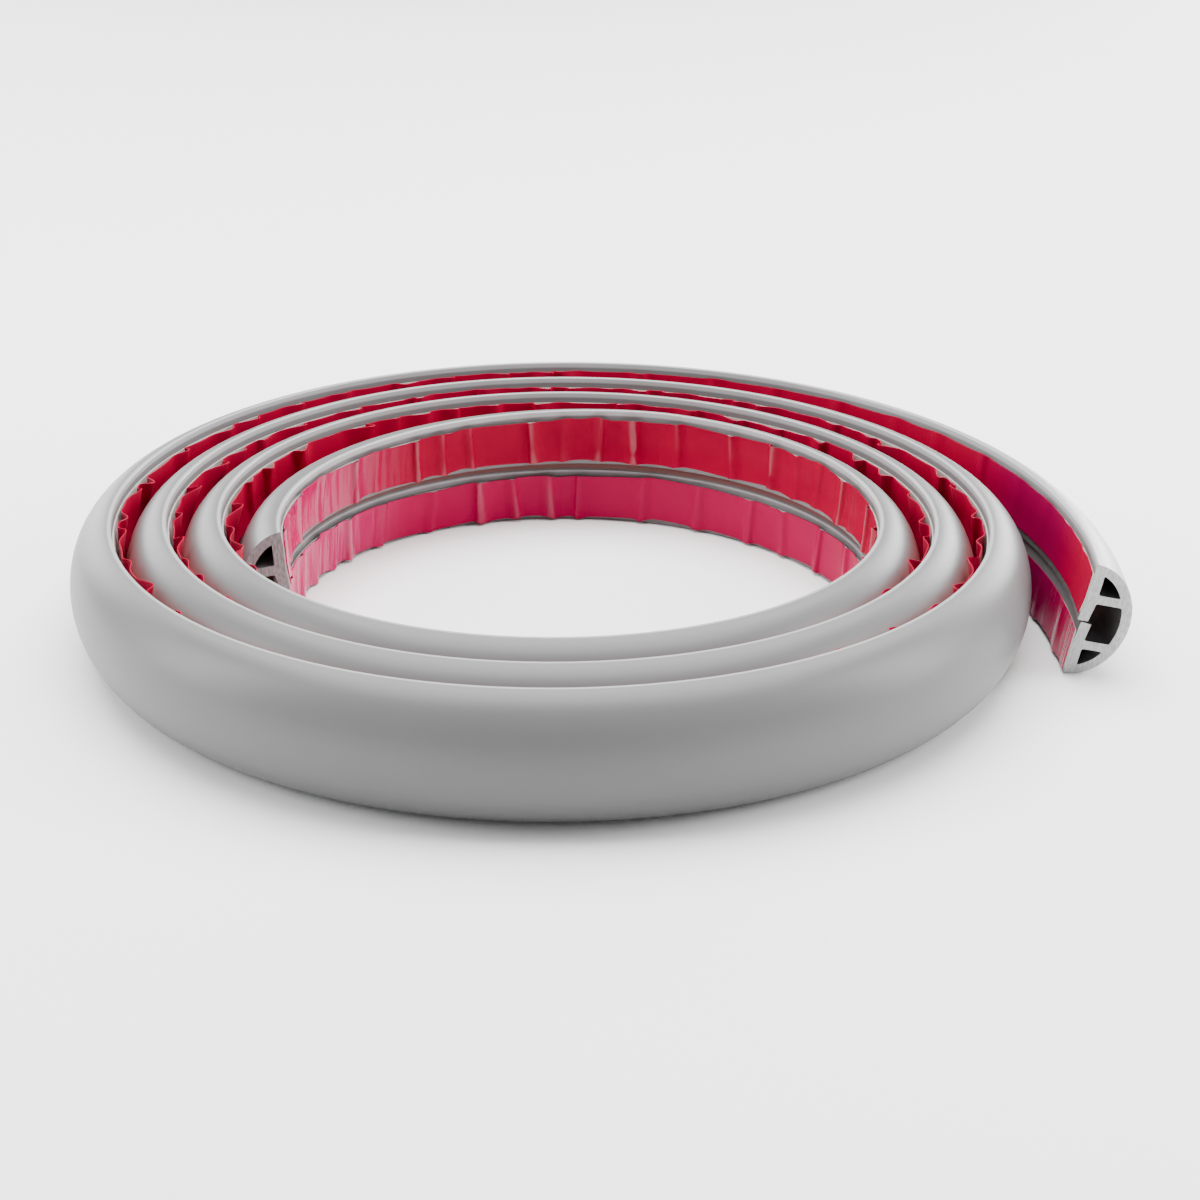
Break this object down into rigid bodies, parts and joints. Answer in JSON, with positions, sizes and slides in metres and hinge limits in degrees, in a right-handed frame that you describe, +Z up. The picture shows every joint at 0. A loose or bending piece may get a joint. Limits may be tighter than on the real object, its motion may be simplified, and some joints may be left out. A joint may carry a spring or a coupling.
{
  "type": "flexible cable channel",
  "caption": "Flexible floor cable channel of D section with a slit base and two adhesive tapes under release liners, wound on edge into an open spiral.",
  "frame": {"origin": "middle of the coil's bounding box, on the floor that it stands on", "axes": "+Z up along the strip's width, +X towards the straightened outer end; the coil winds outwards clockwise from above"},
  "size_m": [0.2438, 0.232, 0.03],
  "materials": {
    "soft_pvc": "satin grey flexible PVC",
    "adhesive_tape": "matt double-sided tape",
    "release_film": "glossy crimson film"
  },
  "bodies": {
    "root": {"channel_extrusion": "soft_pvc", "adhesive_strip_upper": "adhesive_tape", "adhesive_strip_lower": "adhesive_tape", "release_liner_upper": "release_film", "release_liner_lower": "release_film"}
  },
  "joints": []
}
